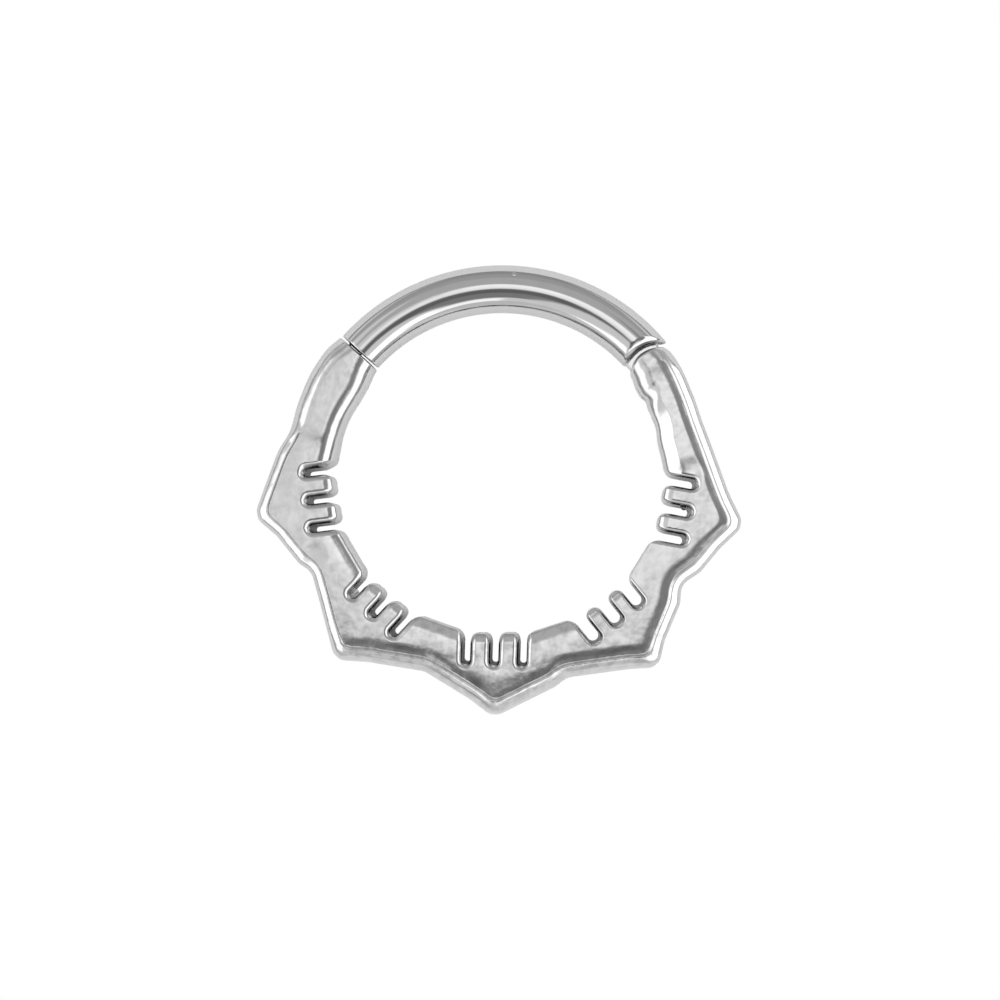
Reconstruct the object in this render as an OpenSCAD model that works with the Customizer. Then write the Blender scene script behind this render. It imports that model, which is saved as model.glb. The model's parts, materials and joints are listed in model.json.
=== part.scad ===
/* [Ring and bar] */
// Inner radius of the bar's arc, which is the clear radius of the ring
ring_inner_r = 4.16; // [4.05:0.01:4.3]
// Diameter of the bar's round wire (16 gauge)
wire_d = 1.2; // [1.15:0.01:1.25]
// Angle of the closing joint, counted from the ring's right side
closing_angle = 138.6; // [137:0.1:140]
// Width of the gap between bar and plate at the closing joint
closing_gap = 0.05; // [0.04:0.01:0.08]

/* [Plate] */
// Thickness of the cast plate, front to back
plate_t = 1.2; // [1.15:0.01:1.25]
// Width of the bevelled rim along the plate's outer edge
rim_w = 0.42; // [0.3:0.01:0.5]
// Height that the rim's bevel falls
rim_h = 0.34; // [0.2:0.01:0.4]
// Depth of the face below the rim's crest
dish = 0.06; // [0.02:0.01:0.1]
// Radius of the soft edge round the plate's inside
inner_edge_r = 0.28; // [0.15:0.01:0.35]
// Radius of the soft edges at the plate's back
back_edge_r = 0.2; // [0.1:0.01:0.3]
// Radius of the arms' edges where they meet the bar
arm_edge_r = 0.52; // [0.4:0.01:0.55]
// Width of the flat that blunts each lobe's point
tip_flat = 0.26; // [0.1:0.01:0.4]

/* [Slots] */
// Width of each slot
slot_w = 0.36; // [0.28:0.01:0.4]
// Distance between the middles of neighbouring slots
slot_pitch = 0.7; // [0.66:0.01:0.74]
// Radius of the two corners at a slot's blind end
slot_corner_r = 0.13; // [0.06:0.01:0.14]

/* [Hinge] */
// Distance of the pin from the ring's centre
pin_r = 4.67; // [4.64:0.01:4.7]
// Angle of the pin, counted from the ring's right side
pin_angle = 31.3; // [31:0.1:32]
// Radius of the plate's rounded end about the pin
knuckle_r = 0.84; // [0.8:0.01:0.88]
// Width of the gap between bar and plate at the hinge
hinge_gap = 0.08; // [0.05:0.01:0.1]
// Diameter of the hinge pin
pin_d = 0.4; // [0.3:0.01:0.45]
// Radial clearance of the bar's eye on the pin
eye_clearance = 0.02; // [0.015:0.005:0.04]
// Thickness of the bar's flat eye
eye_t = 0.42; // [0.36:0.01:0.46]
// Outer radius of the bar's flat eye
eye_r = 0.5; // [0.45:0.01:0.54]
// Clearance on each face of the eye in the fork
fork_clearance = 0.03; // [0.02:0.005:0.05]
// Metal left over the pin's blind end at the front
pin_cover = 0.12; // [0.08:0.01:0.2]

/* [Closing tongue] */
// Length of the tongue past the bar's end
tongue_l = 0.36; // [0.2:0.01:0.4]
// Width of the tongue, seen from the front
tongue_w = 0.3; // [0.2:0.01:0.34]
// Thickness of the tongue, front to back
tongue_t = 0.4; // [0.3:0.01:0.45]
// Clearance all round the tongue in its pocket
tongue_clearance = 0.04; // [0.03:0.005:0.05]

/* [Hidden] */

$fn = 64;
eps = 0.01;
wire_r = wire_d / 2;
bar_r = ring_inner_r + wire_r;
mid_z = plate_t / 2;

// Columns of LOBES, the five lobes from left to right: angle of the row of
// slots, angle and radius of the point, radius of the inner edge before the row,
// how far out its first and last slot open, radius of the inner edge after it,
// and how far out the slots' blind ends are
AXIS = 0; POINT = 1; POINT_R = 2; BEFORE = 3; MOUTH_1 = 4; MOUTH_2 = 5; AFTER = 6; ROOT = 7;
LOBES = [
    [186.8, 188.5, 6.15, 4.16, 4.15, 4.10, 4.15, 4.87],
    [226.9, 227.5, 6.04, 4.08, 4.05, 3.97, 3.95, 4.71],
    [268.1, 268.5, 5.88, 3.90, 3.87, 3.81, 3.90, 4.66],
    [309.2, 309.7, 6.03, 3.91, 3.92, 3.96, 4.01, 4.69],
    [349.4, 348.8, 6.07, 4.03, 4.03, 4.03, 4.09, 4.82]
];

// Columns of the outline tables: angle, radius. Each row of VALLEYS follows the
// outer edge from one lobe's point down to the valley and up to the next point
A = 0; R = 1;
VALLEYS = [
    [[194.5, 5.77], [203, 5.46], [206.3, 5.26], [219, 5.64]],
    [[234, 5.66], [248.5, 5.17], [262, 5.55]],
    [[275, 5.64], [284.5, 5.37], [288.5, 5.23], [304, 5.73]],
    [[315, 5.74], [325, 5.44], [329.2, 5.21], [334.5, 5.48], [342, 5.72]]
];
LEFT_ARM_OUTER = [
    [closing_angle, 5.37], [143, 5.46], [151, 5.47], [160, 5.43], [168, 5.40], [172.5, 5.60], [182, 5.90]
];
RIGHT_ARM_OUTER = [
    [355.5, 5.70], [369, 5.29], [376, 5.20], [382, 5.21], [391, 5.27], [402, 5.36]
];
LEFT_ARM_INNER = [[closing_angle, 4.17], [145, 4.05], [150, 4.04], [159, 4.11], [166.5, 4.12]];
RIGHT_ARM_INNER = [
    [368, 4.04], [373, 4.01], [378.5, 4.09], [385.5, 4.03], [388, 4.07], [390, 3.99], [394, 4.00],
    [397, 4.08], [402, 4.14]
];

function polar(a, r) = [r * cos(a), r * sin(a)];
// Half the length of a row of slots, whose corners stand clear of its outer slots' walls
corner_clear = 0.04;
comb_half = slot_pitch + slot_w / 2 + corner_clear;
function tip_half_angle(l) = atan(tip_flat / 2 / l[POINT_R]);
function tip(l) = [for (side = [-1, 1]) [l[POINT] + side * tip_half_angle(l), l[POINT_R]]];
function mouth(l, side) =
    let (out = side < 0 ? l[MOUTH_1] : l[MOUTH_2])
    [l[AXIS] + side * atan(slot_pitch / out), norm([slot_pitch, out])];
function row_end(l, side) =
    let (r = side < 0 ? l[BEFORE] : l[AFTER])
    [l[AXIS] + side * asin(comb_half / r), r];

OUTER = concat(
    LEFT_ARM_OUTER,
    [for (i = [0 : len(LOBES) - 1]) each concat(tip(LOBES[i]), i < len(VALLEYS) ? VALLEYS[i] : [])],
    RIGHT_ARM_OUTER
);
INNER = concat(
    LEFT_ARM_INNER,
    [for (l = LOBES) each [row_end(l, -1), mouth(l, -1), mouth(l, 1), row_end(l, 1)]],
    RIGHT_ARM_INNER
);

// Radius where the straight line through two polar points crosses angle a
function line_r(p, q, a) =
    p[R] * q[R] * sin(q[A] - p[A]) / (p[R] * sin(a - p[A]) + q[R] * sin(q[A] - a));
function outline_r(t, a, i = 0) =
    i >= len(t) - 2 || a <= t[i + 1][A] ? line_r(t[i], t[i + 1], a) : outline_r(t, a, i + 1);
function sorted(v) = len(v) < 2 ? v
    : let (pivot = v[floor(len(v) / 2)])
    concat(sorted([for (x = v) if (x < pivot) x]), [pivot], sorted([for (x = v) if (x > pivot) x]));
SECTIONS = sorted([for (p = concat(OUTER, INNER)) p[A]]);

// Share of the plate's own section at angle a: 0 at the joints, 1 along the lobes
arm_start = 170;
arm_end = 368;
arm_tip = 402;
function plate_share(a) =
    min(1, (a - closing_angle) / (arm_start - closing_angle), (arm_tip - a) / (arm_tip - arm_end));
function blend(from, to, share) = from + (to - from) * share;

// Corners of a section: back inside, back outside, front outside, front inside,
// each with its soft edge's width along the radius and its height
CORNERS = [
    [back_edge_r, back_edge_r],
    [back_edge_r, back_edge_r],
    [rim_w, rim_h],
    [inner_edge_r, inner_edge_r]
];
corner_steps = 3;
crest_w = 0.08;
function section(a) =
    let (ri = outline_r(INNER, a), ro = outline_r(OUTER, a), share = plate_share(a), fall = dish * share)
    [for (k = [0 : 3], j = [0 : corner_steps + (k == 2 ? 1 : 0)])
        let (w = blend(arm_edge_r, CORNERS[k][0], share),
             h = blend(arm_edge_r, CORNERS[k][1], share),
             t = 180 + 90 * k + 90 * j / corner_steps,
             top = k == 3 ? plate_t - fall : plate_t,
             r = j > corner_steps ? ro - w - crest_w : (k == 0 || k == 3 ? ri + w : ro - w) + w * cos(t),
             z = j > corner_steps ? plate_t - fall - eps : k < 2 ? h + h * sin(t) : top - h + h * sin(t))
        [r * cos(a), r * sin(a), z]];

module plate_body() {
    m = len(section(SECTIONS[0]));
    n = len(SECTIONS);
    points = [for (a = SECTIONS) each section(a)];
    sides = [for (i = [0 : n - 2], j = [0 : m - 1])
        let (k = (j + 1) % m)
        [i * m + j, i * m + k, (i + 1) * m + k, (i + 1) * m + j]];
    start = [for (j = [m - 1 : -1 : 0]) j];
    end = [for (j = [0 : m - 1]) (n - 1) * m + j];
    polyhedron(points, concat(sides, [start, end]), convexity = 12);
}

// Cutter of one slot, pointing out along +X, with rounded corners at its blind end
module slot(mouth, root) {
    inside = 0.6;
    translate([0, 0, -eps]) linear_extrude(plate_t + 2 * eps) {
        translate([mouth - inside, -slot_w / 2]) square([root - slot_corner_r - mouth + inside, slot_w]);
        translate([mouth, slot_corner_r - slot_w / 2]) square([root - mouth, slot_w - 2 * slot_corner_r]);
        for (s = [-1, 1])
            translate([root - slot_corner_r, s * (slot_w / 2 - slot_corner_r)]) circle(slot_corner_r);
    }
}

pin_xy = polar(pin_angle, pin_r);
module at_pin(z = 0) { translate([pin_xy[0], pin_xy[1], z]) children(); }

// Everything on the bar's side of the pin but for the plate's rounded end
module beyond_knuckle() {
    reach = 1.6;
    difference() {
        rotate([0, 0, pin_angle]) translate([pin_r - reach, 0, -eps])
            cube([2 * reach, 2 * reach, plate_t + 2 * eps]);
        at_pin(-2 * eps) cylinder(r = knuckle_r, h = plate_t + 4 * eps);
    }
}

// The tongue is bent about the pin, so it leaves its pocket as the bar swings up
to_closing = polar(closing_angle, bar_r) - pin_xy;
closing_r = norm(to_closing);
tongue_shift = 0.1;
module closing_tongue(grow = 0) {
    sweep = (tongue_l + grow) / closing_r * 180 / PI;
    root = 0.5 / closing_r * 180 / PI;
    at_pin(mid_z - tongue_t / 2 - grow)
        rotate([0, 0, atan2(to_closing[1], to_closing[0]) - root]) rotate_extrude(angle = sweep + root)
            translate([closing_r + tongue_shift - tongue_w / 2 - grow, 0])
                square([tongue_w + 2 * grow, tongue_t + 2 * grow]);
}

// Puts the origin under the middle of the whole ring
all_x = [for (p = OUTER) p[R] * cos(p[A])];
all_y = [for (p = OUTER) p[R] * sin(p[A])];
middle = [(min(all_x) + max(all_x)) / 2, (min(all_y) + bar_r + wire_r) / 2];
module centred() { translate([-middle[0], -middle[1], 0]) children(); }

module lobed_plate() color("silver") centred() {
    fork_t = eye_t + 2 * fork_clearance;
    difference() {
        plate_body();
        for (l = LOBES, i = [-1 : 1])
            rotate([0, 0, l[AXIS]]) translate([0, i * slot_pitch, 0]) slot(l[MOUTH_1], l[ROOT]);
        beyond_knuckle();
        at_pin(mid_z - fork_t / 2) cylinder(r = knuckle_r + hinge_gap, h = fork_t);
        at_pin(-eps) cylinder(d = pin_d, h = plate_t - pin_cover + eps);
        closing_tongue(tongue_clearance);
    }
}

module hinged_bar() color("silver") centred() {
    end_angle = closing_angle - closing_gap / bar_r * 180 / PI;
    neck_w = 1.8 * eye_r;
    neck_angle = (knuckle_r + 2 * hinge_gap) / bar_r * 180 / PI;
    difference() {
        union() {
            difference() {
                translate([0, 0, mid_z]) rotate([0, 0, pin_angle]) rotate_extrude(angle = end_angle - pin_angle)
                    translate([bar_r, 0]) circle(wire_r);
                at_pin(-eps) cylinder(r = knuckle_r + hinge_gap, h = plate_t + 2 * eps);
            }
            at_pin(mid_z - eye_t / 2) cylinder(r = eye_r, h = eye_t);
            translate([0, 0, mid_z - eye_t / 2]) rotate([0, 0, pin_angle]) rotate_extrude(angle = neck_angle)
                translate([pin_r - neck_w / 2, 0]) square([neck_w, eye_t]);
            closing_tongue();
        }
        at_pin(-eps) cylinder(d = pin_d + 2 * eye_clearance, h = plate_t + 2 * eps);
    }
}

module hinge_pin() color("gray") centred() {
    at_pin() cylinder(d = pin_d - 2 * eps, h = plate_t - pin_cover - eps);
}

lobed_plate();
hinged_bar();
hinge_pin();
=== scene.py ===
import json
import math
from functools import reduce
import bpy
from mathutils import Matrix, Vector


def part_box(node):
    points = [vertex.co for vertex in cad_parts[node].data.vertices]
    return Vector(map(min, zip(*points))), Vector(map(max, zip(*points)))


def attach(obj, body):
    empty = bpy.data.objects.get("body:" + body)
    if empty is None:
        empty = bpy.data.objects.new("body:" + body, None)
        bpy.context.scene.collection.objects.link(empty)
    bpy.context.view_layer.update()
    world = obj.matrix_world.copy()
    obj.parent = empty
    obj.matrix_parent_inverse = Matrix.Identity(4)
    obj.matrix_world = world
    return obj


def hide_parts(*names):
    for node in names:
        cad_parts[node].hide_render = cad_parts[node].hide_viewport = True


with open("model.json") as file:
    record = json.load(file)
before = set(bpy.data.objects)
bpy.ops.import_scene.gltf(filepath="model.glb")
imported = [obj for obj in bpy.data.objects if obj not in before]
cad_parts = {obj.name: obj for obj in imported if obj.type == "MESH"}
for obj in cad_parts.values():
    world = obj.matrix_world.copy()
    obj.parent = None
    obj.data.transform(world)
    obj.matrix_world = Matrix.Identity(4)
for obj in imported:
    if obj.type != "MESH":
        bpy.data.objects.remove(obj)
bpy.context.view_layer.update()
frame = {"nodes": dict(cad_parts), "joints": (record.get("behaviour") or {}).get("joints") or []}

from types import SimpleNamespace

import bpy
import numpy as np
from bpy.props import FloatProperty, FloatVectorProperty, PointerProperty
from mathutils import Matrix, Vector

bl_info = {
    "name": "Hinged septum ring",
    "version": (1, 0, 0),
    "blender": (4, 5, 0),
    "location": "3D View > Sidebar > Septum ring",
    "description": "Builds a hinged septum ring from a cast plate, a round bar and a pin, and its stage",
    "category": "Add Mesh",
}

# One millimetre in the scene's metres
MM = 0.001

# A distance in millimetres that stands for far away from the metal
FAR = 9

# The hinge pin is where the frame has it; the ring's centre lies PIN_R from it
PIN = np.array(frame["joints"][0]["pos_m"][:2]) / MM
PIN_ANGLE = 31.3
PIN_R = 4.67
CENTRE = PIN - PIN_R * np.array([math.cos(math.radians(PIN_ANGLE)), math.sin(math.radians(PIN_ANGLE))])

# Angle of the closing joint; every angle here is in degrees about the ring's
# centre, counted from +X, and runs on past 360 to the hinge
CLOSING = 138.6

# Distance in millimetres between neighbouring slots of a row
SLOT_PITCH = 0.7

# The five lobes from left to right: angle of the row of slots, angle and radius
# of the point, radius of the inner edge before the row, how far out its first
# and last slot open, radius of the inner edge after it, how far out the slots'
# blind ends are, and the slots' width at the back, in millimetres
LOBES = (
    (186.8, 188.5, 6.15, 4.16, 4.15, 4.10, 4.15, 4.87, 0.14),
    (226.9, 227.5, 6.04, 4.08, 4.05, 3.97, 3.95, 4.71, 0.16),
    (268.1, 268.5, 5.88, 3.90, 3.87, 3.81, 3.90, 4.66, 0.16),
    (309.2, 309.7, 6.03, 3.91, 3.92, 3.96, 4.01, 4.69, 0.28),
    (349.4, 348.8, 6.07, 4.03, 4.03, 4.03, 4.09, 4.82, 0.20),
)

# Points on the plate's edges: angle, radius in millimetres. Each row of VALLEYS
# follows the outer edge from one lobe's point down to the valley and up again
VALLEYS = (
    ((194.5, 5.77), (203, 5.46), (206.3, 5.26), (219, 5.64)),
    ((234, 5.66), (248.5, 5.17), (262, 5.55)),
    ((275, 5.64), (284.5, 5.37), (288.5, 5.23), (304, 5.73)),
    ((315, 5.74), (325, 5.44), (329.2, 5.21), (334.5, 5.48), (342, 5.72)),
)
LEFT_ARM_OUTER = ((130, 5.35), (138.6, 5.37), (143, 5.46), (151, 5.47), (160, 5.43), (168, 5.40),
                  (172.5, 5.60), (182, 5.90))
RIGHT_ARM_OUTER = ((355.5, 5.70), (369, 5.29), (376, 5.20), (382, 5.21), (391, 5.27), (402, 5.36),
                   (410, 5.36))
LEFT_ARM_INNER = ((130, 4.17), (138.6, 4.17), (145, 4.05), (150, 4.04), (159, 4.11), (166.5, 4.12))
RIGHT_ARM_INNER = ((368, 4.04), (373, 4.01), (378.5, 4.09), (385.5, 4.03), (388, 4.07), (390, 3.99),
                   (394, 4.00), (397, 4.08), (402, 4.14), (410, 4.16))

# The shapes change bit by bit between pairs of angles. The left arm's round section
# flattens into the lobes' where the rim starts, the lobes' goes over into the right
# arm's, and the rim runs out short of the hinge
ARM_START = (164, 171)
ARM_END = (366, 379)
RIM_END = (390, 400)
# The inner edge changes inside the first and the last slot, its soft stretch at the
# left and its facets end further on
EDGE_START = (175.5, 178)
EDGE_END = (358, 360.5)
LEFT_END = (216, 221)
FACETS_END = (314, 322)
# The rim is wide along the lower lobes, and its bevel is flatter past them
WIDE_START, WIDE_END = (220, 230), (306, 314)
# The hollow at the rim's foot starts here, is wide and shallow on the lowest lobe,
# and narrow at the right
HOLLOW_START = (222, 232)
LOWEST_START, LOWEST_END = (250, 260), (278, 288)
RIGHT_START = (338, 350)

# Small beads that casting left in the slots: angle, radius, height, size
BEADS = ((218.2, 4.62, 0.75, 0.1), (350.9, 4.62, 0.8, 0.09))

# Shallow dents in the cast face and one nick in the bar: angle, radius, size, depth
DENTS = ((202.6, 5.0, 0.4, 0.014), (361.8, 4.72, 0.42, 0.024))
NICKS = ((86, 5.08, 0.07, 0.02),)

# How many triangles the two meshes are thinned to
PLATE_TRIANGLES = 185000
BAR_TRIANGLES = 70000


# Sizes and colours that can be changed in the panel


def linear(code):
    """Linear RGB of an sRGB hex colour."""
    parts = [int(code[i:i + 2], 16) / 255 for i in (1, 3, 5)]
    return tuple(c / 12.92 if c <= 0.04045 else ((c + 0.055) / 1.055) ** 2.4 for c in parts)


def length(name, description, size):
    """A length property with its default given in millimetres."""
    return FloatProperty(name=name, description=description, default=size * MM,
                         min=0, precision=5, subtype="DISTANCE", unit="LENGTH")


class PlateSizes(bpy.types.PropertyGroup):
    """Sizes of the cast plate"""
    thickness: length("Thickness", "Thickness of the cast plate, front to back", 1.2)
    rim: length("Rim width", "Width of the bevelled rim along the lower lobes", 0.33)
    rim_side: length("Side rim width", "Width of the rim along the sides and up the right arm", 0.27)
    rim_edge: length("Rim edge", "Radius of the rim's outer edge", 0.1)
    dish: length("Dish", "Depth of the face below the rim's ridge", 0.028)
    hollow: length("Hollow", "Further depth of the face at the rim's foot", 0.05)
    hollow_reach: length("Hollow reach", "Distance in which the hollow runs out", 0.32)
    hollow_lowest: length("Lowest hollow", "Depth of the hollow on the lowest lobe", 0.028)
    reach_lowest: length("Lowest reach", "Distance in which the lowest lobe's hollow runs out", 0.55)
    reach_right: length("Right reach", "Distance in which the hollow runs out on the right", 0.23)
    step: length("Step", "Width of the step from the rim's ridge down to the face", 0.08)
    roll: length("Roll width", "Width in which the face rolls off towards the inner edge", 0.55)
    roll_fall: length("Roll fall", "How far the face rolls down at the inner edge", 0.12)
    inner_edge: length("Inner edge", "Radius of the crisp inner edge between the rows of slots", 0.04)
    left_edge: length("Left inner edge", "Radius of the inner edge by the two left rows of slots", 0.14)
    back_edge: length("Back edge", "Radius of the soft edges at the back", 0.2)
    arm_edge: length("Arm edge", "Radius of the arms' edges", 0.46)
    arm_slant: length("Arm slant", "Width of the slanting inner side of the right arm", 0.4)
    arm_slant_fall: length("Arm slant fall", "How far the right arm's inner side slants down", 0.19)
    arm_slant_edge: length("Arm slant edge", "Radius of the edge below the slanting side", 0.14)
    joint_edge: length("Joint edge", "Radius of the arms' edges where they meet the bar", 0.56)
    slot: length("Slot width", "Width of a slot across its soft edges", 0.5)
    slot_draft: length("Slot draft", "How much narrower a slot is at the back", 0.05)
    slot_pitch: length("Slot pitch", "Distance between neighbouring slots", SLOT_PITCH)
    slot_corner: length("Slot corner", "Radius of the two corners at a slot's blind end", 0.14)
    slot_slope: length("Slot slope", "How far a slot's blind end slopes in, front to back", 0.08)
    tine: length("Tine tip", "Radius of the tips between the slots, seen from the back", 0.2)
    tine_round: length("Tine rounding", "Width of the rounding at the tips between the slots", 0.3)
    tine_fall: length("Tine fall", "How far the tips between the slots round down", 0.2)
    closing_edge: length("Closing edge", "Radius of the plate's edge at the closing joint", 0.04)
    knuckle: length("Knuckle", "Radius of the plate's rounded end about the pin", 0.84)
    knuckle_edge: length("Knuckle edge", "Radius of the soft edge at the plate's rounded end", 0.13)
    fork: length("Fork clearance", "Clearance on each face of the eye in the fork", 0.03)
    pocket: length("Pocket clearance", "Clearance round the tongue in its pocket", 0.04)
    pin_hole: length("Pin hole", "Radius of the hole that the pin sits in", 0.2)
    pin_cover: length("Pin cover", "Metal left over the pin's blind end at the front", 0.12)
    wave: length("Polishing wave", "Height of the waviness that hand polishing leaves", 0.0025)
    cell: length("Cell", "Width of the cells that the casting is meshed with", 0.028)


class BarSizes(bpy.types.PropertyGroup):
    """Sizes of the round bar"""
    wire: length("Wire", "Diameter of the bar's round wire", 1.2)
    arc: length("Arc", "Radius of the middle of the wire", 4.76)
    closing_edge: length("Closing edge", "Radius of the bar's edge at the closing joint", 0.04)
    hinge_edge: length("Hinge edge", "Radius of the soft edge at the sides of the bar's hinge end", 0.1)
    hinge_top: length("Hinge edge on top", "Radius of the same edge at its highest point", 0.25)
    hinge_gap: length("Hinge gap", "Width of the gap between bar and plate at the hinge", 0.08)
    joint_gap: length("Closing gap", "Width of the gap between bar and plate at the closing joint", 0.05)
    eye: length("Eye", "Radius of the flat eye", 0.5)
    eye_thickness: length("Eye thickness", "Thickness of the flat eye", 0.42)
    hole: length("Eye hole", "Radius of the eye's hole", 0.22)
    tongue: length("Tongue", "Length of the tongue past the bar's end", 0.36)
    tongue_width: length("Tongue width", "Width of the tongue, seen from the front", 0.3)
    tongue_thickness: length("Tongue thickness", "Thickness of the tongue, front to back", 0.4)
    cell: length("Cell", "Width of the cells that the bar is meshed with", 0.03)


class Finish(bpy.types.PropertyGroup):
    """Colours of the steel and of the floor"""
    cast: FloatVectorProperty(name="Cast steel", description="Colour of the polished cast plate",
                              size=3, min=0, max=1, subtype="COLOR", default=linear("#cccccc"))
    wire: FloatVectorProperty(name="Wire steel", description="Colour of the polished wire bar",
                              size=3, min=0, max=1, subtype="COLOR", default=linear("#c8c8c8"))
    pin: FloatVectorProperty(name="Pin steel", description="Colour of the filed pin",
                             size=3, min=0, max=1, subtype="COLOR", default=linear("#b4b4b4"))
    floor: FloatVectorProperty(name="Floor", description="Colour of the pale floor",
                               size=3, min=0, max=1, subtype="COLOR", default=linear("#f6f6f6"))


# The plate's outline


def polar(angle, radius):
    """Point at an angle and radius about the ring's centre."""
    a = math.radians(angle)
    return np.array([radius * math.cos(a), radius * math.sin(a)])


def rounded_line(corners, steps=6):
    """Open line through corners (point, radius), each rounded as far as its neighbours leave room."""
    points = [p for p, _ in corners]
    line = [points[0]]
    for (before, here, after), (_, radius) in zip(zip(points, points[1:], points[2:]), corners[1:-1]):
        to_before, to_after = before - here, after - here
        room = 0.5 * min(np.linalg.norm(to_before), np.linalg.norm(to_after))
        u, v = to_before / np.linalg.norm(to_before), to_after / np.linalg.norm(to_after)
        half = 0.5 * math.acos(np.clip(u @ v, -1, 1))
        reach = min(radius / math.tan(half), room)
        start, end = here + u * reach, here + v * reach
        for k in range(steps + 1):
            t = k / steps
            line.append((1 - t) ** 2 * start + 2 * t * (1 - t) * here + t ** 2 * end)
    line = np.array(line + [points[-1]])
    moved = np.linalg.norm(np.diff(line, axis=0), axis=1) > 1e-9
    return line[np.append(True, moved)]


def outer_line():
    """The plate's outer edge from the closing joint round to the hinge."""
    flat, point_radius, bend_radius, arm_radius = 0.13, 0.3, 0.5, 4
    corners = [(polar(*row), arm_radius) for row in LEFT_ARM_OUTER]
    for i, (_, angle, radius, *_) in enumerate(LOBES):
        turn = math.degrees(math.atan(flat / radius))
        corners += [(polar(at, radius), point_radius) for at in (angle - turn, angle + turn)]
        if i < len(VALLEYS):
            corners += [(polar(*row), bend_radius) for row in VALLEYS[i]]
    corners += [(polar(*row), arm_radius) for row in RIGHT_ARM_OUTER]
    return rounded_line(corners)


def inner_line():
    """The plate's inner edge without its slots, from the closing joint round to the hinge."""
    half, corner_radius, arm_radius = 0.92, 0.12, 4
    corners = [(polar(*row), arm_radius) for row in LEFT_ARM_INNER]
    for axis, _, _, before, mouth_1, mouth_2, after, *_ in LOBES:
        first, last = (math.degrees(math.atan(SLOT_PITCH / mouth)) for mouth in (mouth_1, mouth_2))
        corners += [
            (polar(axis - math.degrees(math.asin(half / before)), before), corner_radius),
            (polar(axis - first, math.hypot(SLOT_PITCH, mouth_1)), corner_radius),
            (polar(axis + last, math.hypot(SLOT_PITCH, mouth_2)), corner_radius),
            (polar(axis + math.degrees(math.asin(half / after)), after), corner_radius),
        ]
    corners += [(polar(*row), arm_radius) for row in RIGHT_ARM_INNER]
    return rounded_line(corners)


def side_of(line, x, y):
    """Distance of each point from an open line, positive on the line's left."""
    best = np.full(x.shape, np.inf)
    side = np.zeros(x.shape)
    for a, b in zip(line[:-1], line[1:]):
        edge = b - a
        px, py = x - a[0], y - a[1]
        t = np.clip((px * edge[0] + py * edge[1]) / (edge @ edge), 0, 1)
        gap = (px - t * edge[0]) ** 2 + (py - t * edge[1]) ** 2
        near = gap < best
        best = np.where(near, gap, best)
        side = np.where(near, edge[0] * py - edge[1] * px, side)
    return np.sqrt(best) * np.sign(side)


def blurred(values, passes):
    """Values on a grid after so many passes of averaging each with its neighbours."""
    for _ in range(passes):
        for axis in (0, 1):
            values = 0.5 * values + 0.25 * (np.roll(values, 1, axis) + np.roll(values, -1, axis))
    return values


def read_chart(chart, x, y):
    """A chart's values at any points, by cubic splines."""
    values, low, cell = chart
    total = 0
    (i, u), (j, v) = (np.divmod((p - q) / cell, 1) for p, q in zip((x, y), low))
    i = np.clip(i.astype(int), 1, values.shape[0] - 3)
    j = np.clip(j.astype(int), 1, values.shape[1] - 3)
    weights = [((1 - t) ** 3 / 6, (4 - 6 * t ** 2 + 3 * t ** 3) / 6,
                (1 + 3 * t + 3 * t ** 2 - 3 * t ** 3) / 6, t ** 3 / 6) for t in (u, v)]
    for a in range(4):
        for b in range(4):
            total = total + weights[0][a] * weights[1][b] * values[i + a - 1, j + b - 1]
    return total


def outline_charts(low, high):
    """Charts of the depth from the outer edge, the same with soft corners, and from the inner edge."""
    # The blur's passes soften the corners over about 0.1 mm
    cell, margin, blur = 0.02, 0.4, 60
    axes = [np.arange(a - margin, b + margin, cell) for a, b in zip(low[:2], high[:2])]
    x, y = np.meshgrid(*axes, indexing="ij")
    outer, inner = side_of(outer_line(), x, y), -side_of(inner_line(), x, y)
    start = axes[0][0], axes[1][0]
    return [(values, start, cell) for values in (outer, blurred(outer, blur), inner)]


# Fields: distances in millimetres, negative in the metal and positive outside


def smooth(t):
    """Smooth step from 0 to 1."""
    t = np.clip(t, 0, 1)
    return t * t * (3 - 2 * t)


def blend(start, end, share):
    """Value that a share of the way from start leads to."""
    return start + (end - start) * share


def soft_edge(sides, wides):
    """Field of the solid inside several faces, from each one's depth and its soft edge's width."""
    total = sum(np.maximum(1 - depth / width, 0) ** 2 for depth, width in zip(sides, wides))
    return (np.sqrt(total) - 1) * reduce(np.minimum, wides)


def both(a, b, radius):
    """Field of what is in both solids, with an edge of that radius."""
    u, v = np.maximum(a + radius, 0), np.maximum(b + radius, 0)
    return np.minimum(np.maximum(a, b), -radius) + np.sqrt(u * u + v * v)


def either(a, b, radius):
    """Field of what is in one solid or the other, with a fillet of that radius."""
    return -both(-a, -b, radius)


def shared(*fields):
    """Field of what is in every one of several solids, with sharp edges."""
    return reduce(np.maximum, fields)


def settings_of(group):
    """The names of a property group's own settings."""
    return [name for name in group.bl_rna.properties.keys() if name not in {"rna_type", "name"}]


def millimetres(group):
    """The lengths of a property group in millimetres, by name."""
    return SimpleNamespace(**{name: getattr(group, name) / MM for name in settings_of(group)})


def past(radius, turn):
    """How far a point lies past a ray from the centre, from its radius and its turn in degrees."""
    return radius * np.sin(np.radians(np.clip(turn, -90, 90)))


def about_pin(x, y):
    """Distance of a point from the pin's axis, in millimetres about the ring's centre."""
    pin = polar(PIN_ANGLE, PIN_R)
    return np.hypot(x - pin[0], y - pin[1])


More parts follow.
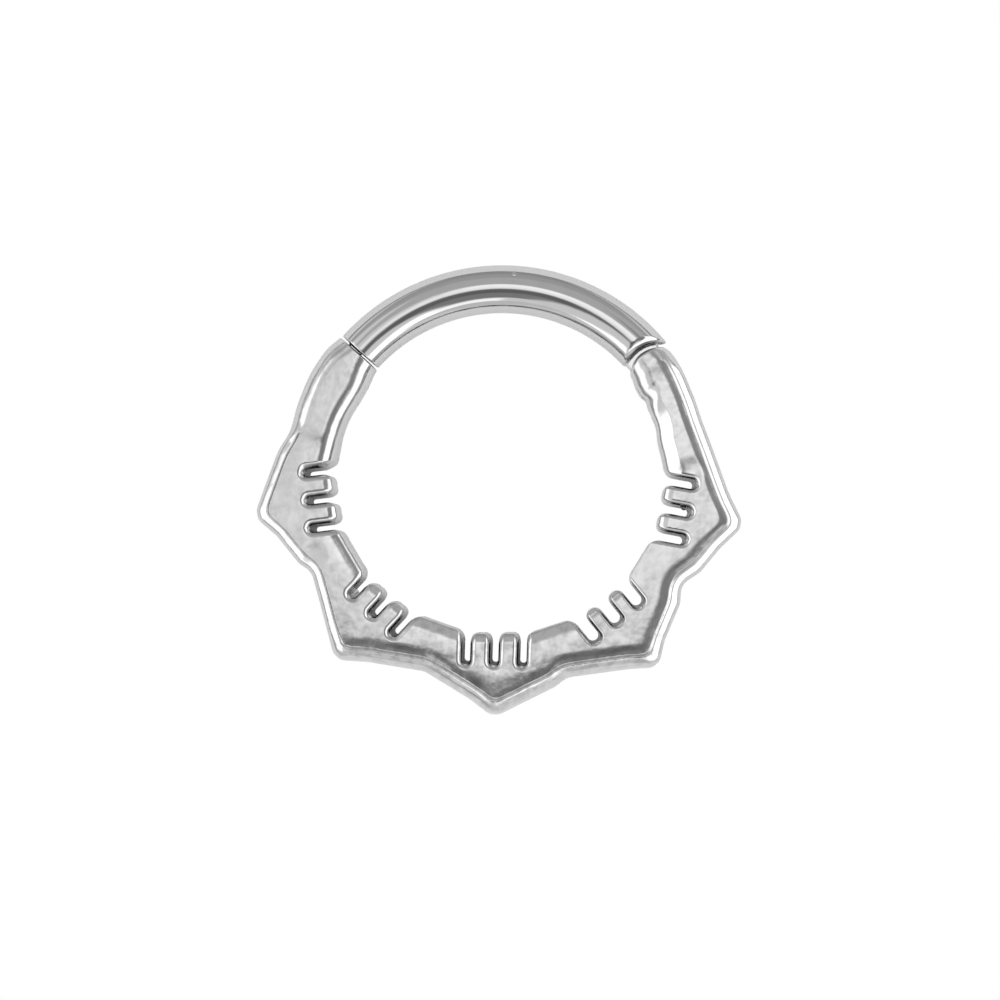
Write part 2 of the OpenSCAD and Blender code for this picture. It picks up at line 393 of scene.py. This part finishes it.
def tongue_field(x, y, z, bar, thickness, grow):
    """Field of the closing tongue, bent about the pin, or of its pocket."""
    shift, soft = 0.1, 0.03
    pin = polar(PIN_ANGLE, PIN_R)
    to_closing = polar(CLOSING, bar.arc) - pin
    radius = np.hypot(*to_closing)
    turn = np.arctan2(y - pin[1], x - pin[0]) - math.atan2(to_closing[1], to_closing[0])
    turn = (turn + math.pi) % (2 * math.pi) - math.pi
    plan = both(abs(about_pin(x, y) - radius - shift) - 0.5 * bar.tongue_width - grow,
                turn * radius - bar.tongue - grow, soft)
    return both(plan, abs(z - 0.5 * thickness) - 0.5 * bar.tongue_thickness - grow, soft)


def polishing_wave(x, y):
    """Gentle waves of 0.5 to 1.3 mm, from -1 to 1, that polishing by hand leaves on a cast face."""
    # Direction in degrees and length in millimetres; each is bent and out of step with the others
    waves = ((12, 0.83), (75, 0.61), (131, 0.97), (168, 0.47), (40, 1.31))
    total = 0
    for k, (angle, period) in enumerate(waves):
        u = polar(angle, 2 * math.pi / period)
        total = total + np.sin(u[0] * x + u[1] * y + 1.7 * k + 0.8 * np.sin(0.9 * x - 1.1 * y + k))
    return total / len(waves)


def dented(x, y, dents):
    """Depth of the dents at each point."""
    total = 0
    for angle, radius, size, depth in dents:
        spot = polar(angle, radius)
        away = ((x - spot[0]) ** 2 + (y - spot[1]) ** 2) / size ** 2
        total = total + depth * np.maximum(1 - away, 0) ** 2
    return total


def slot_depth(x, y, z, plate):
    """How deep in the metal a point lies from the nearest slot's wall, the soft edge's width there,
    and whether the point lies between the slots of a row."""
    depth, edge, between = np.full(np.broadcast(x, z).shape, float(FAR)), 0.1, 0.0
    rise = np.clip(z / plate.thickness, 0, 1)
    for axis, *_, root, back_width in LOBES:
        u = polar(axis, 1)
        along, across = x * u[0] + y * u[1], y * u[0] - x * u[1]
        in_row = abs(across) < plate.slot_pitch
        across = abs(across - plate.slot_pitch * np.clip(np.round(across / plate.slot_pitch), -1, 1))
        width = back_width + plate.slot_draft * rise
        corner = np.minimum(0.5 * width, plate.slot_corner)
        side, end = across - 0.5 * width + corner, along - root + plate.slot_slope * (1 - rise) + corner
        past_corner = np.hypot(np.maximum(side, 0), np.maximum(end, 0))
        slot = past_corner + np.minimum(np.maximum(side, end), 0) - corner
        nearer = (along > 0) & (slot < depth)
        edge = np.where(nearer, 0.5 * (plate.slot - back_width - plate.slot_draft), edge)
        between = np.where(nearer, in_row, between)
        depth = np.where(nearer, slot, depth)
    return depth, edge, between


def run(angle, start, end=None):
    """Share that rises from 0 to 1 between the angles of start and falls between those of end."""
    share = smooth((angle - start[0]) / (start[1] - start[0])) if start else 1
    return share * smooth((end[1] - angle) / (end[1] - end[0])) if end else share


def front_height(x, y, outer, inner, here, plate):
    """Height of the front: the rim's bevel, the step at its foot, the face, its falls at the inside."""
    # The bevel's angles in degrees: gentle at its ridge, where it is wide a little steeper, and
    # steep at the plate's edge, at the right less so. Where it isn't wide, it stays gentle for
    # the first 0.3 of its width
    gentle, gentle_wide, steep, steep_right = (math.tan(math.radians(a)) for a in (27, 30, 62, 46))
    gentle, turn = blend(gentle, gentle_wide, here.wide), 0.3 * (1 - here.wide)
    steep = blend(steep, steep_right, here.right)
    # A deeper hollow gets a wider step, so that the step's wall doesn't get too steep for the mesh
    step = plate.step + 0.5 * here.hollow
    down = np.clip(1 - outer / here.width, 0, 1)
    steeper = (steep - gentle) * np.maximum(down - turn, 0) ** 3 / (3 * (1 - turn) ** 2)
    bevel = here.width * (gentle * down + steeper)
    sink = np.clip(1 - np.maximum(outer - here.width, 0) / here.reach, 0, 1) ** 2
    face = (plate.dish + here.hollow * sink) * smooth((outer - here.width) / step + 0.5)
    fall = here.facets * plate.roll_fall * np.clip(1 - inner / plate.roll, 0, 1) ** 3
    fall = fall + here.slant * plate.arm_slant_fall * np.clip(1 - inner / plate.arm_slant, 0, 1)
    wave = plate.wave * (1 + 2 * sink) * (polishing_wave(x, y) - 1)
    return plate.thickness + np.minimum(wave - here.rim * (bevel + face) - fall, 0) - dented(x, y, DENTS)


def plate_field(x, y, z, plate, bar, charts):
    """Field of the cast plate: negative in the metal, zero on its skin, about the ring's centre."""
    outer, soft_outer, inner = (read_chart(chart, x, y) for chart in charts)
    radius, angle = np.hypot(x, y), np.degrees(np.arctan2(y, x)) % 360
    angle = np.where(angle < 90, angle + 360, angle)
    flat, lobed = run(angle, ARM_START, ARM_END), run(angle, EDGE_START, EDGE_END)
    rim, wide = run(angle, ARM_START, RIM_END), run(angle, WIDE_START, WIDE_END)
    width = blend(plate.rim_side, plate.rim, wide)
    lowest = run(angle, LOWEST_START, LOWEST_END)
    hollow = run(angle, HOLLOW_START) * blend(plate.hollow, plate.hollow_lowest, lowest)
    reach = blend(plate.hollow_reach, plate.reach_lowest, lowest)
    reach = blend(reach, plate.reach_right, run(angle, RIGHT_START))
    # The arms go over into the bar's round section within so many degrees of the joints
    joint_reach = 12
    at_joint = smooth(1 - np.minimum(angle - CLOSING, 360 + PIN_ANGLE - angle) / joint_reach)
    slots, slot_edge, between = slot_depth(x, y, z, plate)
    facets = lobed * run(angle, None, FACETS_END) * (1 - between)
    slant = run(angle, EDGE_END) * (1 - at_joint)
    here = SimpleNamespace(rim=rim, wide=wide, width=width, right=run(angle, WIDE_END), hollow=hollow,
                           reach=reach, facets=facets, slant=slant)
    top = front_height(x, y, blend(outer, soft_outer, smooth(outer / width)), inner, here, plate)
    arm = blend(plate.arm_edge, plate.joint_edge, at_joint)
    arm_inner = blend(arm, plate.arm_slant_edge, slant)
    lobe_inner = blend(plate.inner_edge, plate.left_edge, run(angle, None, LEFT_END))
    inner_wide = blend(arm_inner, blend(lobe_inner, plate.tine_round, between), lobed)
    inner_fall = blend(arm_inner, blend(lobe_inner, plate.tine_fall, between), lobed)
    front_outer = blend(arm, plate.rim_edge, rim)
    back = blend(arm, plate.back_edge, flat)
    # The back's edges are soft, and crisper near the slots
    slot_far, slot_fade = 0.32, 0.14
    back_inner = blend(back, 0.5 * slot_edge, smooth((slot_far - slots) / slot_fade) * flat)
    body = shared(
        soft_edge((outer, top - z), (front_outer, front_outer)),
        soft_edge((inner, top - z), (inner_wide, inner_fall)),
        soft_edge((inner, slots, top - z), (inner_wide, slot_edge, np.maximum(inner_fall, slot_edge))),
        soft_edge((outer, z), (back, back)),
        soft_edge((-both(-inner, -slots, plate.tine), z), (back_inner, back_inner)),
    )
    fillet, cut_edge = 0.05, 0.025
    for at_angle, at_radius, at_height, size in BEADS:
        bead = polar(at_angle, at_radius)
        from_bead = np.sqrt((x - bead[0]) ** 2 + (y - bead[1]) ** 2 + (z - at_height) ** 2)
        body = either(body, from_bead - size, fillet)
    body = both(body, past(radius, CLOSING - angle), plate.closing_edge)
    end = np.minimum(past(radius, angle - 360 - PIN_ANGLE), about_pin(x, y) - plate.knuckle)
    body = both(body, end, plate.knuckle_edge)
    middle = abs(z - 0.5 * plate.thickness)
    fork = shared(about_pin(x, y) - plate.knuckle - bar.hinge_gap,
                  middle - 0.5 * bar.eye_thickness - plate.fork)
    body = both(body, -fork, cut_edge)
    body = both(body, -tongue_field(x, y, z, bar, plate.thickness, plate.pocket), cut_edge)
    hole = shared(about_pin(x, y) - plate.pin_hole, z - plate.thickness + plate.pin_cover)
    return both(body, -hole, cut_edge)


def bar_field(x, y, z, plate, bar):
    """Field of the round bar with its flat eye and its tongue."""
    middle = abs(z - 0.5 * plate.thickness)
    radius, angle = np.hypot(x, y), np.degrees(np.arctan2(y, x))
    gap_turn = math.degrees(bar.joint_gap / bar.arc)
    from_pin = past(radius, angle - PIN_ANGLE)
    wire = np.hypot(radius - bar.arc, z - 0.5 * plate.thickness) - 0.5 * bar.wire
    wire = wire + np.where(z > 0.5 * plate.thickness, dented(x, y, NICKS), 0)
    wire = both(wire, past(radius, angle - CLOSING + gap_turn), bar.closing_edge)
    wire = shared(wire, -from_pin)
    from_top = np.clip(abs(radius - bar.arc) / (0.5 * bar.wire), 0, 1) ** 2
    hinge_edge = blend(bar.hinge_top, bar.hinge_edge, from_top)
    wire = both(wire, plate.knuckle + bar.hinge_gap - about_pin(x, y), hinge_edge)
    neck_share, soft, root_length = 0.9, 0.03, 0.3
    neck = shared(abs(radius - PIN_R) - neck_share * bar.eye, -from_pin,
                  from_pin - plate.knuckle - 2 * bar.hinge_gap)
    eye = both(np.minimum(about_pin(x, y) - bar.eye, neck), middle - 0.5 * bar.eye_thickness, soft)
    body = either(wire, eye, soft)
    root = shared(tongue_field(x, y, z, bar, plate.thickness, 0),
                  past(radius, CLOSING - angle) - root_length)
    body = either(body, np.where(x < 0, root, FAR), soft)
    return both(body, bar.hole - about_pin(x, y), soft)


# Meshes on the fields' zero level


def surface_net(values, axes):
    """Closed net of quads on a sampled field's zero level, with a point in each cell that it crosses."""
    inside = values < 0
    shape = tuple(n - 1 for n in values.shape)
    corners = [np.array(c) for c in np.ndindex(2, 2, 2)]
    filled = sum(inside[tuple(slice(o, o + n) for o, n in zip(c, shape))].astype(np.int8)
                 for c in corners)
    cells = np.argwhere((filled > 0) & (filled < 8))
    number = np.full(shape, -1, np.int32)
    number[tuple(cells.T)] = np.arange(len(cells))

    def at(offset):
        index = cells + offset
        place = np.stack([axis[i] for axis, i in zip(axes, index.T)], axis=1)
        return values[tuple(index.T)].astype(float), place

    total, count = np.zeros((len(cells), 3)), np.zeros(len(cells))
    for low in corners:
        for along in range(3):
            if low[along]:
                continue
            high = low.copy()
            high[along] = 1
            (a, p), (b, q) = at(low), at(high)
            crossed = (a < 0) != (b < 0)
            t = np.where(crossed, a / np.where(crossed, a - b, 1), 0)
            total += np.where(crossed[:, None], p + (q - p) * t[:, None], 0)
            count += crossed
    quads = []
    for along in range(3):
        u, v = np.eye(3, dtype=int)[(along + 1) % 3], np.eye(3, dtype=int)[(along + 2) % 3]
        here = inside[tuple(slice(0, -1) if k == along else slice(None) for k in range(3))]
        there = inside[tuple(slice(1, None) if k == along else slice(None) for k in range(3))]
        at_edge = np.argwhere(here != there)
        quad = np.stack([number[tuple((at_edge - o).T)] for o in (0 * u, u, u + v, v)], axis=1)
        leaving = here[tuple(at_edge.T)]
        quads.append(np.where(leaving[:, None], quad, quad[:, ::-1]))
    return total / count[:, None], np.concatenate(quads)


def slope(field, points):
    """The field's gradient at each point."""
    reach = 0.003
    steps = reach * np.eye(3)
    rises = [field(*(points + s).T) - field(*(points - s).T) for s in steps]
    return np.stack(rises, axis=1) / (2 * reach)


def settled(field, points, passes, limit):
    """Points moved straight onto the field's zero level."""
    for _ in range(passes):
        g = slope(field, points)
        move = -field(*points.T)[:, None] * g / np.maximum((g * g).sum(1), 1e-6)[:, None]
        size = np.linalg.norm(move, axis=1, keepdims=True)
        points = points + move * np.minimum(1, limit / np.maximum(size, 1e-9))
    return points


def sampled(field, low, high, cell):
    """The field on a grid, worked out only in the columns near the metal, and the grid's axes."""
    axes = [np.arange(a - 2.5 * cell, b + 3 * cell, cell) for a, b in zip(low, high)]
    x, y = np.meshgrid(axes[0], axes[1], indexing="ij")
    margin = 3 * cell
    heights = np.linspace(low[2], high[2], 5)
    near = reduce(np.minimum, [field(x, y, np.full_like(x, z)) for z in heights]) < margin
    values = np.ones((*x.shape, len(axes[2])), np.float32)
    columns = field(x[near][:, None], y[near][:, None], axes[2][None, :])
    values[near] = columns
    return values, axes


def skin(name, field, low, high, cell, triangles):
    """Object on the zero level of a field, thinned to a number of triangles where it is flattest."""
    points, quads = surface_net(*sampled(field, low, high, cell))
    points = settled(field, points, 1, 0.5 * cell)
    dense = bpy.data.meshes.new(name + "_dense")
    dense.from_pydata(points, [], quads)
    work = bpy.data.objects.new(name + "_dense", dense)
    bpy.context.scene.collection.objects.link(work)
    thin = work.modifiers.new("Thin", "DECIMATE")
    thin.ratio = min(1, triangles / (2 * len(quads)))
    mesh = bpy.data.meshes.new_from_object(work.evaluated_get(bpy.context.evaluated_depsgraph_get()))
    bpy.data.objects.remove(work)
    bpy.data.meshes.remove(dense)
    points = np.empty(3 * len(mesh.vertices))
    mesh.vertices.foreach_get("co", points)
    points = settled(field, points.reshape(-1, 3), 2, 0.5 * cell)
    normals = slope(field, points)
    normals /= np.linalg.norm(normals, axis=1, keepdims=True)
    mesh.vertices.foreach_set("co", ((points + (*CENTRE, 0)) * MM).ravel())
    mesh.polygons.foreach_set("use_smooth", [True] * len(mesh.polygons))
    mesh.update()
    mesh.normals_split_custom_set_from_vertices(normals)
    mesh.name = name
    made = bpy.data.objects.new(name, mesh)
    bpy.context.scene.collection.objects.link(made)
    return made


# Materials


def add_node(tree, kind, inputs=None, **settings):
    """New node with its settings, and its inputs set to a value or linked to another node's socket."""
    made = tree.nodes.new(kind)
    for name, value in settings.items():
        setattr(made, name, value)
    for name, value in (inputs or {}).items():
        if isinstance(value, bpy.types.NodeSocket):
            tree.links.new(value, made.inputs[name])
        else:
            made.inputs[name].default_value = value
    return made


def metal(name, colour, dull, bright, cloud, blotch, blotched, grain, grain_depth, pit, pit_depth,
          stretch=(1, 1, 1)):
    """Steel: a cloudy roughness between two values, patches of darker blotches and shallow pits, and fine
    grain.

    cloud, blotch, grain and pit are sizes in millimetres, blotched is how dark the blotches get, and the
    two depths are in micrometres. The marks of buffing, drawing or filing are too fine to show in
    the picture, so each steel's grain is drawn as coarse as it needs to show.
    """
    material = bpy.data.materials.new(name)
    material.use_nodes = True
    tree = material.node_tree
    tree.nodes.clear()
    place = add_node(tree, "ShaderNodeTexCoord").outputs["Object"]
    # The ranges below are narrower than 0 to 1, because noise stays near its middle
    clouds = add_node(tree, "ShaderNodeTexNoise",
                      {"Vector": place, "Scale": 1 / (cloud * MM), "Detail": 3.0}).outputs["Fac"]
    rough = add_node(tree, "ShaderNodeMapRange",
                     {"Value": clouds, "From Min": 0.35, "From Max": 0.65,
                      "To Min": bright, "To Max": dull}).outputs["Result"]
    patches = add_node(tree, "ShaderNodeMapRange",
                       {"Value": clouds, "From Min": 0.42, "From Max": 0.62,
                        "To Min": 0.15, "To Max": 1.0}).outputs["Result"]
    blotches = add_node(tree, "ShaderNodeTexNoise",
                      {"Vector": place, "Scale": 1 / (blotch * MM), "Detail": 3.0}).outputs["Fac"]
    share = add_node(tree, "ShaderNodeMapRange",
                     {"Value": blotches, "From Min": 0.42, "From Max": 0.66,
                      "To Min": 0.0, "To Max": 1.0}).outputs["Result"]
    # The darker blotches are heaviest towards the bottom, on the lowest lobe, and on the front face, and
    # faint on the sides and back. Each row:
    # axis, two places along it in millimetres, how much of the blotches is left at each
    spot = add_node(tree, "ShaderNodeSeparateXYZ", {"Vector": place}).outputs
    for axis, low, high, at_low, at_high in (("Y", -4.4, -2.4, 1.0, 0.3), ("Z", 0.9, 1.12, 0.15, 1.0)):
        left = add_node(tree, "ShaderNodeMapRange",
                        {"Value": spot[axis], "From Min": low * MM, "From Max": high * MM,
                         "To Min": at_low, "To Max": at_high}).outputs["Result"]
        share = add_node(tree, "ShaderNodeMath", {0: share, 1: left}, operation="MULTIPLY").outputs[0]
    darker = tuple(blotched * c for c in colour)
    tint = add_node(tree, "ShaderNodeMixRGB",
                    {"Fac": share, "Color1": (*colour, 1), "Color2": (*darker, 1)}).outputs["Color"]
    pits = add_node(tree, "ShaderNodeTexNoise",
                    {"Vector": place, "Scale": 1 / (pit * MM), "Detail": 1.0}).outputs["Fac"]
    pitted = add_node(tree, "ShaderNodeBump",
                      {"Height": pits, "Strength": patches,
                       "Distance": pit_depth * MM * MM}).outputs["Normal"]
    drawn = add_node(tree, "ShaderNodeMapping", {"Vector": place, "Scale": stretch}).outputs["Vector"]
    grains = add_node(tree, "ShaderNodeTexNoise",
                      {"Vector": drawn, "Scale": 1 / (grain * MM), "Detail": 3.0,
                       "Roughness": 0.6}).outputs["Fac"]
    bump = add_node(tree, "ShaderNodeBump",
                    {"Height": grains, "Distance": grain_depth * MM * MM, "Strength": 1.0,
                     "Normal": pitted}).outputs["Normal"]
    steel = add_node(tree, "ShaderNodeBsdfPrincipled",
                     {"Base Color": tint, "Roughness": rough, "Normal": bump,
                      "Metallic": 1.0}).outputs["BSDF"]
    add_node(tree, "ShaderNodeOutputMaterial", {"Surface": steel})
    return material


def cast_steel(finish):
    """Surgical steel, lost-wax cast, tumbled and buffed: bright, with clouds, darker blotches and shallow
    pits.
    """
    return metal("cast_steel", finish.cast, dull=0.22, bright=0.12, cloud=0.8, blotch=0.2, blotched=0.72,
                 grain=0.07, grain_depth=0.6, pit=0.2, pit_depth=7)


def wire_steel(finish):
    """Surgical steel wire, drawn and mirror polished: the smoothest surface of the ring."""
    return metal("wire_steel", finish.wire, dull=0.11, bright=0.07, cloud=0.9, blotch=0.4, blotched=0.9,
                 grain=0.05, grain_depth=0.15, pit=0.4, pit_depth=2)


def pin_steel(finish):
    """Steel wire cut off and filed flush: dull, with fine file marks."""
    return metal("pin_steel", finish.pin, dull=0.42, bright=0.32, cloud=0.1, blotch=0.1, blotched=0.85,
                 grain=0.02, grain_depth=1.5, pit=0.1, pit_depth=1, stretch=(1, 0.1, 1))


# The ring's three pieces


def dress(piece, material, body, node):
    """Gives a piece its material and body, and lets it stand for a CAD node."""
    piece.data.materials.clear()
    piece.data.materials.append(material)
    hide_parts(node)
    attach(piece, body)


def reach_of(node):
    """A CAD node's lowest and highest corner in millimetres about the ring's centre."""
    return [np.array(corner) / MM - (*CENTRE, 0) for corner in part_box(node)]


class SEPTUM_OT_cast_plate(bpy.types.Operator):
    """Builds the cast plate with its lobes, slots and arms"""
    bl_idname = "septum.cast_plate"
    bl_label = "Cast plate"

    def execute(self, context):
        scene = context.scene
        plate, bar = millimetres(scene.septum_plate), millimetres(scene.septum_bar)
        low, high = reach_of("lobed_plate")
        charts = outline_charts(low, high)

        def field(x, y, z):
            return plate_field(x, y, z, plate, bar, charts)

        made = skin("cast_plate", field, low, high, plate.cell, PLATE_TRIANGLES)
        dress(made, cast_steel(scene.septum_finish), "plate", "lobed_plate")
        return {"FINISHED"}


class SEPTUM_OT_round_bar(bpy.types.Operator):
    """Builds the round bar with its eye and its tongue"""
    bl_idname = "septum.round_bar"
    bl_label = "Round bar"

    def execute(self, context):
        scene = context.scene
        plate, bar = millimetres(scene.septum_plate), millimetres(scene.septum_bar)

        def field(x, y, z):
            return bar_field(x, y, z, plate, bar)

        made = skin("round_bar", field, *reach_of("hinged_bar"), bar.cell, BAR_TRIANGLES)
        dress(made, wire_steel(scene.septum_finish), "bar", "hinged_bar")
        return {"FINISHED"}


class SEPTUM_OT_hinge_pin(bpy.types.Operator):
    """Gives the hinge pin its filed steel"""
    bl_idname = "septum.hinge_pin"
    bl_label = "Hinge pin"

    def execute(self, context):
        pin = frame["nodes"]["hinge_pin"]
        material = pin_steel(context.scene.septum_finish)
        for slot in pin.material_slots:
            slot.material = material
        return {"FINISHED"}


# The stage

# The studio's light tent as the ring sees it: soft-edged panes in the plane one
# unit overhead, painted one over another. Columns: left, right, near, far, width
# of the soft edge, brightness
PANES = (
    (-3.7, -0.85, -1.0, 0.8, 0.1, 2.0),
    (-3.7, -1.0, -2.0, -0.9, 0.1, 2.0),
    (-80, -3.7, -80, 80, 0.3, 0.5),
    (-80, -11, -80, 80, 1.0, 0.35),
    (0.9, 5, -2.8, 1.6, 0.1, 2.0),
    (0.4, 1.0, -2.6, -0.9, 0.1, 2.0),
    (4.5, 80, -10, 80, 0.5, 0.3),
    (-1.5, 1.5, 0.9, 80, 0.05, 0.62),
    (-0.45, 0.8, 0.29, 1.0, 0.05, 0.62),
    (-1.8, 1.8, 1.2, 80, 0.3, 0.5),
    (-2.5, 2.5, 3, 80, 0.5, 0.42),
    (-80, 80, 9, 80, 1.0, 0.38),
    (-0.08, 0.3, 0.07, 0.29, 0.03, 1.5),
    (0.15, 0.8, -0.35, 0.25, 0.04, 0.3),
    (0.3, 0.85, 0.2, 0.6, 0.05, 0.37),
    (-1.5, 1.5, -60, -2.1, 0.1, 0.8),
    (-0.1, 0.6, -2.1, -1.28, 0.05, 1.6),
    (-0.27, 0.3, -1.1, -0.10, 0.06, 0.3),
    (-0.27, 0.3, -0.45, -0.13, 0.06, 0.18),
    (-0.13, 0.05, -0.05, 0.07, 0.01, 1.32),
)

# Brightness of the tent where there is no pane
TENT = 0.95

# The camera's place and the point that it looks at, in millimetres, as found from
# the photo, and its lens
CAMERA = (2.54, -3.23, 58.6)
AIM = (0.04, -0.28, 0.6)
LENS = 83.7


def light_tent():
    """World that shines as a white tent with a few brighter and darker panes."""
    world = bpy.data.worlds.new("light_tent")
    world.use_nodes = True
    tree = world.node_tree
    tree.nodes.clear()
    ray = add_node(tree, "ShaderNodeSeparateXYZ",
                   {"Vector": add_node(tree, "ShaderNodeTexCoord").outputs["Generated"]}).outputs
    # A ray from below the horizon is given the light from just above it
    horizon = 0.01
    height = add_node(tree, "ShaderNodeMath", {0: ray["Z"], 1: horizon}, operation="MAXIMUM").outputs[0]
    across = add_node(tree, "ShaderNodeMath", {0: ray["X"], 1: height}, operation="DIVIDE").outputs[0]
    along = add_node(tree, "ShaderNodeMath", {0: ray["Y"], 1: height}, operation="DIVIDE").outputs[0]
    light = TENT
    for left, right, near, far, soft, brightness in PANES:
        cover = 1.0
        sides = (across, left, 1), (across, right, -1), (along, near, 1), (along, far, -1)
        for place, start, turn in sides:
            inside = add_node(tree, "ShaderNodeMapRange",
                              {"Value": place, "From Min": start - turn * soft,
                               "From Max": start + turn * soft},
                              interpolation_type="SMOOTHSTEP").outputs["Result"]
            cover = add_node(tree, "ShaderNodeMath", {0: cover, 1: inside},
                             operation="MULTIPLY").outputs[0]
        light = add_node(tree, "ShaderNodeMix",
                         {"Factor": cover, "A": light, "B": brightness}).outputs["Result"]
    sky = add_node(tree, "ShaderNodeBackground",
                   {"Color": (1, 1, 1, 1), "Strength": light}).outputs["Background"]
    add_node(tree, "ShaderNodeOutputWorld", {"Surface": sky})
    return world


def white_paper(colour):
    """Uncoated white paper: matt in the steel's reflections, and plain white in the picture."""
    material = bpy.data.materials.new("white_paper")
    material.use_nodes = True
    tree = material.node_tree
    tree.nodes.clear()
    sheet = add_node(tree, "ShaderNodeBsdfDiffuse", {"Color": (*colour, 1)}).outputs["BSDF"]
    white = add_node(tree, "ShaderNodeEmission",
                     {"Color": (1, 1, 1, 1), "Strength": 1.0}).outputs["Emission"]
    seen = add_node(tree, "ShaderNodeLightPath").outputs["Is Camera Ray"]
    either_way = add_node(tree, "ShaderNodeMixShader", {0: seen, 1: sheet, 2: white}).outputs["Shader"]
    add_node(tree, "ShaderNodeOutputMaterial", {"Surface": either_way})
    return material


class SEPTUM_OT_stage(bpy.types.Operator):
    """Sets the ring on a pale floor in a light tent, with the camera above it"""
    bl_idname = "septum.stage"
    bl_label = "Stage"

    def execute(self, context):
        scene = context.scene
        scene.world = light_tent()
        scene.view_settings.view_transform = "Standard"

        half = 1
        corners = [(-half, -half, 0), (half, -half, 0), (half, half, 0), (-half, half, 0)]
        mesh = bpy.data.meshes.new("floor")
        mesh.from_pydata(corners, [], [(0, 1, 2, 3)])
        floor = bpy.data.objects.new("floor", mesh)
        scene.collection.objects.link(floor)
        mesh.materials.append(white_paper(scene.septum_finish.floor))

        # Whitens the floor without showing in the steel
        lamp = bpy.data.objects.new("floor_light", bpy.data.lights.new("floor_light", "AREA"))
        lamp.data.shape, lamp.data.size, lamp.data.energy = "DISK", 0.3, 0.085
        lamp.location = (0, 0, 0.2)
        lamp.visible_glossy = False
        scene.collection.objects.link(lamp)

        camera = bpy.data.objects.new("camera", bpy.data.cameras.new("camera"))
        camera.data.lens, camera.data.sensor_width, camera.data.clip_start = LENS, 36, 0.001
        camera.location = Vector(CAMERA) * MM
        away = (camera.location - Vector(AIM) * MM).normalized()
        right = Vector((0, 1, 0)).cross(away).normalized()
        up = away.cross(right)
        camera.rotation_euler = Matrix((right, up, away)).transposed().to_euler()
        scene.collection.objects.link(camera)
        scene.camera = camera
        return {"FINISHED"}


class SEPTUM_PT_panel(bpy.types.Panel):
    """Lists the ring's sizes and colours and the steps that build it"""
    bl_idname = "SEPTUM_PT_panel"
    bl_label = "Septum ring"
    bl_space_type = "VIEW_3D"
    bl_region_type = "UI"
    bl_category = "Septum ring"

    def draw(self, context):
        for group in (context.scene.septum_plate, context.scene.septum_bar, context.scene.septum_finish):
            box = self.layout.box()
            for name in settings_of(group):
                box.prop(group, name)
        for operator in OPERATORS:
            self.layout.operator(operator.bl_idname)


# Registering, and building the ring

OPERATORS = (SEPTUM_OT_cast_plate, SEPTUM_OT_round_bar, SEPTUM_OT_hinge_pin, SEPTUM_OT_stage)
CLASSES = (PlateSizes, BarSizes, Finish, *OPERATORS, SEPTUM_PT_panel)


def register():
    """Adds the classes and the scene's three groups of settings."""
    for cls in CLASSES:
        bpy.utils.register_class(cls)
    bpy.types.Scene.septum_plate = PointerProperty(type=PlateSizes)
    bpy.types.Scene.septum_bar = PointerProperty(type=BarSizes)
    bpy.types.Scene.septum_finish = PointerProperty(type=Finish)


def unregister():
    """Takes them away again."""
    del bpy.types.Scene.septum_finish
    del bpy.types.Scene.septum_bar
    del bpy.types.Scene.septum_plate
    for cls in reversed(CLASSES):
        bpy.utils.unregister_class(cls)


def main():
    """Builds the ring and its stage."""
    register()
    bpy.ops.septum.cast_plate()
    bpy.ops.septum.round_bar()
    bpy.ops.septum.hinge_pin()
    bpy.ops.septum.stage()


if __name__ == "__main__":
    main()
